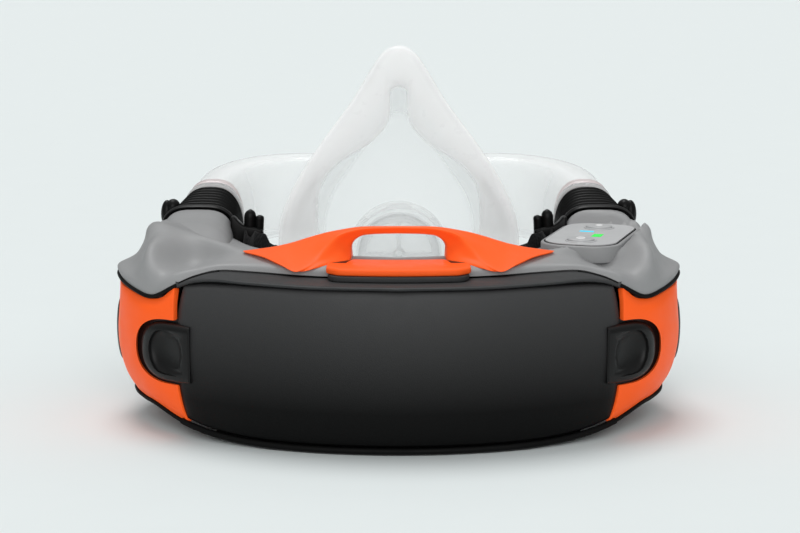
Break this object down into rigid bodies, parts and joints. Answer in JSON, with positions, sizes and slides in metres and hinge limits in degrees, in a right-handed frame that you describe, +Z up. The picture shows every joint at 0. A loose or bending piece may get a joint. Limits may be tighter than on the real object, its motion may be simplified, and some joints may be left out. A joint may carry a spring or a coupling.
{
  "type": "powered air respirator",
  "caption": "Neck-worn powered respirator: a curved blower unit with a filter behind the neck, two bellows arms and a clear half mask with a soft face seal.",
  "frame": {"origin": "bottom centre of the whole object, on the table", "axes": "+Z up, +Y from the filter cover towards the mask, +X towards the wearer's right"},
  "size_m": [0.2064, 0.248, 0.1246],
  "materials": {
    "shell_grey": "satin",
    "orange": "satin",
    "cover_black": "satin",
    "latch_black": "satin",
    "charcoal": "matte",
    "soft_black": "matte",
    "gasket_rubber": "matte",
    "black_plastic": "matte",
    "filter_paper": "matte",
    "screw_steel": "bright",
    "motor_metal": "satin",
    "battery_case": "wrapped",
    "board_green": "lacquered",
    "keypad_grey": "satin",
    "button_grey": "matte",
    "led_blue": "glowing lens",
    "led_green": "glowing lens",
    "led_red": "glowing lens",
    "cuff_clear": "clear plastic",
    "mask_clear": "clear plastic",
    "silicone": "translucent silicone",
    "valve_white": "satin",
    "valve_rubber": "matte"
  },
  "bodies": {
    "power_unit": {"blower_housing": "black_plastic", "blower_motor": "motor_metal", "blue_led": "led_blue", "charging_port": "black_plastic", "green_led": "led_green", "handle": "orange", "housing_screws": "screw_steel", "keypad_board": "board_green", "keypad_gasket": "gasket_rubber", "keypad_plate": "keypad_grey", "left_arm_duct": "black_plastic", "left_battery_pack": "battery_case", "left_bellows": "soft_black", "left_side_cap": "black_plastic", "left_side_frame": "orange", "left_strap_hook": "black_plastic", "left_strap_stud": "black_plastic", "lower_shell": "shell_grey", "main_board": "board_green", "motor_bearings": "screw_steel", "neck_pad": "soft_black", "red_led": "led_red", "right_arm_duct": "black_plastic", "right_battery_pack": "battery_case", "right_bellows": "soft_black", "right_side_cap": "black_plastic", "right_side_frame": "orange", "right_strap_hook": "black_plastic", "right_strap_stud": "black_plastic", "shell_gasket": "gasket_rubber", "tongue_plate": "orange", "tongue_tray": "charcoal", "trim_band": "charcoal", "upper_shell": "shell_grey"},
    "cover": {"filter_cover": "cover_black", "filter_frame": "black_plastic", "filter_media": "filter_paper", "filter_seal": "gasket_rubber", "left_latch_pin": "screw_steel", "right_latch_pin": "screw_steel"},
    "left_latch_body": {"left_latch": "latch_black"},
    "right_latch_body": {"right_latch": "latch_black"},
    "rotor": {"impeller": "black_plastic", "motor_shaft": "screw_steel"},
    "power_button_body": {"power_button": "button_grey"},
    "flow_button_body": {"flow_button": "button_grey"},
    "yoke": {"left_collar": "shell_grey", "right_collar": "shell_grey"},
    "mask": {"left_cuff": "cuff_clear", "right_cuff": "cuff_clear", "left_duct": "mask_clear", "right_duct": "mask_clear", "mask_shell": "mask_clear", "face_seal": "silicone", "valve_seat": "valve_white", "valve_pin": "valve_white", "valve_cover": "valve_white"},
    "flap": {"valve_flap": "valve_rubber"}
  },
  "joints": [
    {"name": "impeller_spin", "type": "hinge", "parent": "power_unit", "child": "rotor", "pos_m": [0, -0.082, 0.03], "axis": [0, 1, 0], "continuous": true},
    {"name": "power_button_press", "type": "slide", "parent": "power_unit", "child": "power_button_body", "axis": [0, 0, -1], "range_m": [0, 0.0008], "stiffness_N_per_m": 900},
    {"name": "flow_button_press", "type": "slide", "parent": "power_unit", "child": "flow_button_body", "axis": [0, 0, -1], "range_m": [0, 0.0008], "stiffness_N_per_m": 900},
    {"name": "cover_pull", "type": "slide", "parent": "power_unit", "child": "cover", "axis": [0, -1, 0], "range_m": [0, 0.045]},
    {"name": "right_latch_swing", "type": "hinge", "parent": "cover", "child": "right_latch_body", "pos_m": [0.0756, -0.09152, 0.0303], "axis": [0, 0, -1], "range_deg": [0, 32], "stiffness_Nm_per_rad": 0.04},
    {"name": "left_latch_swing", "type": "hinge", "parent": "cover", "child": "left_latch_body", "pos_m": [-0.0756, -0.09152, 0.0303], "axis": [0, 0, 1], "range_deg": [0, 32], "stiffness_Nm_per_rad": 0.04},
    {"name": "mask_tilt", "type": "hinge", "parent": "power_unit", "child": "yoke", "pos_m": [0, 0.00487, 0.05137], "axis": [1, 0, 0], "range_deg": [0, 15], "deforming": ["left_bellows", "right_bellows"]},
    {"name": "mask_pull", "type": "slide", "parent": "yoke", "child": "mask", "axis": [0, 0.9925, 0.1219], "range_m": [0, 0.012]},
    {"name": "valve_lift", "type": "slide", "parent": "mask", "child": "flap", "axis": [0, 1, 0], "range_m": [0, 0.002], "stiffness_N_per_m": 25}
  ]
}
